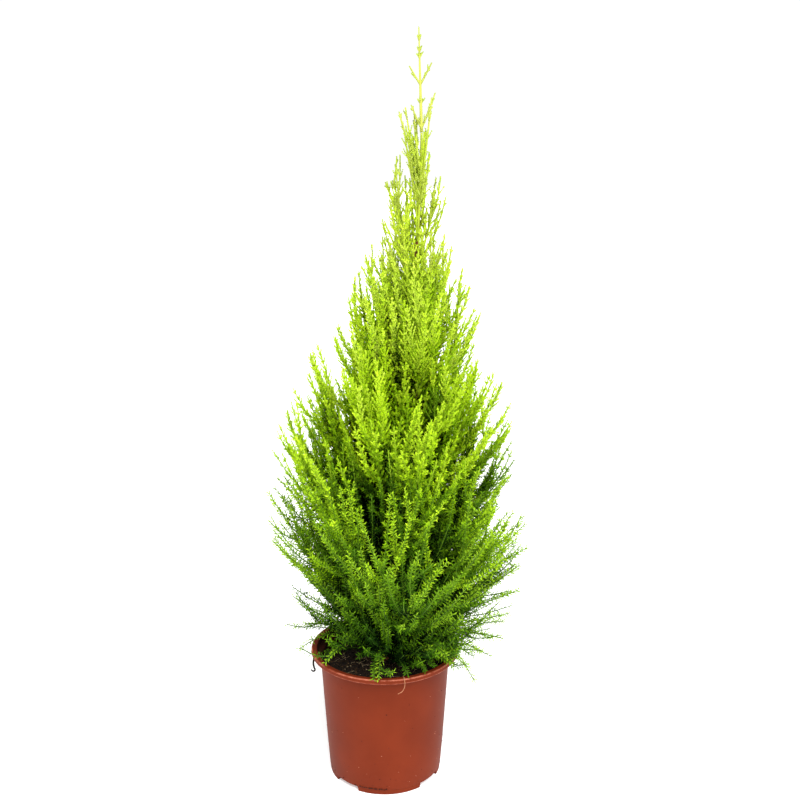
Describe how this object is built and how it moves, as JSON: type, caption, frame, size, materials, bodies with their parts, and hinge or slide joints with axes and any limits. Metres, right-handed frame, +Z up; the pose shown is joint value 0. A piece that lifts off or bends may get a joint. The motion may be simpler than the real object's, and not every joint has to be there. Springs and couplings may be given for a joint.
{
  "type": "potted lemon cypress",
  "caption": "Young golden cypress with a narrow flame-shaped crown of upright feathery plumes, growing in a round terracotta-coloured nursery pot filled with peat",
  "frame": {"origin": "centre of the flat pad on the pot's underside, where it stands", "axes": "+Z up along the pot's axis; -Y towards the viewer of the picture, so +X is to the right"},
  "size_m": [0.2228, 0.2383, 0.6833],
  "materials": {
    "pot_plastic": "satin",
    "peat": "rough",
    "bark": "rough",
    "leaf_lower": "matte",
    "leaf_middle": "matte",
    "leaf_upper": "matte"
  },
  "bodies": {
    "root": {"bough_lower_1": "bark", "bough_lower_10": "bark", "bough_lower_11": "bark", "bough_lower_12": "bark", "bough_lower_2": "bark", "bough_lower_3": "bark", "bough_lower_4": "bark", "bough_lower_5": "bark", "bough_lower_6": "bark", "bough_lower_7": "bark", "bough_lower_8": "bark", "bough_lower_9": "bark", "foliage_leader": "leaf_upper", "foliage_lower_1": "leaf_lower", "foliage_lower_10": "leaf_lower", "foliage_lower_11": "leaf_lower", "foliage_lower_12": "leaf_lower", "foliage_lower_13": "leaf_lower", "foliage_lower_14": "leaf_lower", "foliage_lower_2": "leaf_lower", "foliage_lower_3": "leaf_lower", "foliage_lower_4": "leaf_lower", "foliage_lower_5": "leaf_lower", "foliage_lower_6": "leaf_lower", "foliage_lower_7": "leaf_lower", "foliage_lower_8": "leaf_lower", "foliage_lower_9": "leaf_lower", "foliage_middle_15": "leaf_middle", "foliage_middle_16": "leaf_middle", "foliage_middle_17": "leaf_middle", "foliage_middle_18": "leaf_middle", "foliage_middle_19": "leaf_middle", "foliage_middle_20": "leaf_middle", "foliage_middle_21": "leaf_middle", "foliage_middle_22": "leaf_middle", "foliage_middle_23": "leaf_middle", "foliage_middle_24": "leaf_middle", "foliage_middle_25": "leaf_middle", "foliage_middle_26": "leaf_middle", "foliage_skirt_1": "leaf_lower", "foliage_skirt_2": "leaf_lower", "foliage_skirt_3": "leaf_lower", "foliage_skirt_4": "leaf_lower", "foliage_skirt_5": "leaf_lower", "foliage_skirt_6": "leaf_lower", "foliage_skirt_7": "leaf_lower", "foliage_skirt_8": "leaf_lower", "foliage_upper_27": "leaf_upper", "foliage_upper_28": "leaf_upper", "foliage_upper_29": "leaf_upper", "foliage_upper_30": "leaf_upper", "foliage_upper_31": "leaf_upper", "foliage_upper_32": "leaf_upper", "foliage_upper_33": "leaf_upper", "foliage_upper_34": "leaf_upper", "foliage_upper_35": "leaf_upper", "pot": "pot_plastic", "soil": "peat", "trunk": "bark"}
  },
  "joints": []
}
